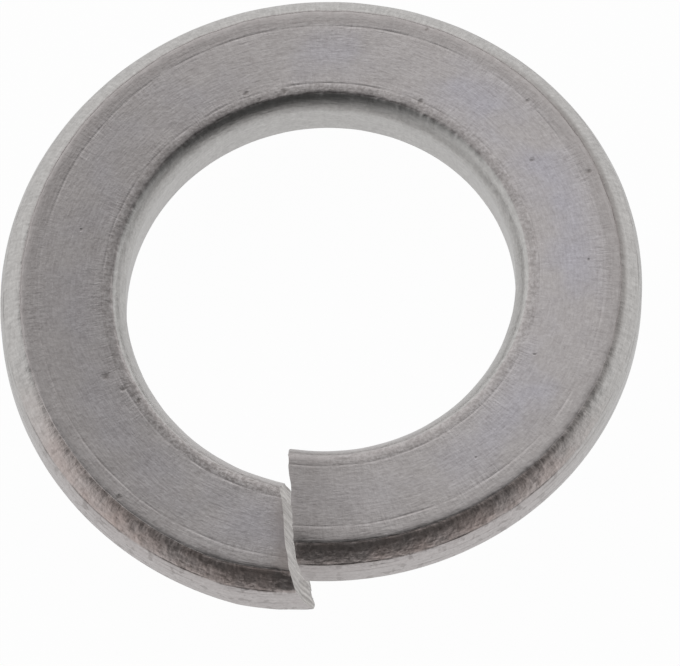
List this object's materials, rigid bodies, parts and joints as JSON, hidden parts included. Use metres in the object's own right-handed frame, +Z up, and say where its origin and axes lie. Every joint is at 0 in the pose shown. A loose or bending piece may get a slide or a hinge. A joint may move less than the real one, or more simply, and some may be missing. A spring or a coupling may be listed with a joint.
{
  "type": "spring lock washer",
  "caption": "Spring lock washer of flat-rolled steel wire: one left-hand helical turn, sheared on a slant, with a raised end that springs against the nut.",
  "frame": {"origin": "on the bore axis, level with the washer's lowest point, which is the tip of the low end", "axes": "+Z up the bore axis; -Y towards the shear; the low end is on the -X side of the shear and the raised end on the +X side"},
  "size_m": [0.0204, 0.0204, 0.0053],
  "materials": {
    "spring_steel": "plain rolled steel, satin grey, with fine draw lines along the wire and faint rolling grain"
  },
  "bodies": {
    "root": {"spring_lock_washer": "spring_steel"}
  },
  "joints": []
}
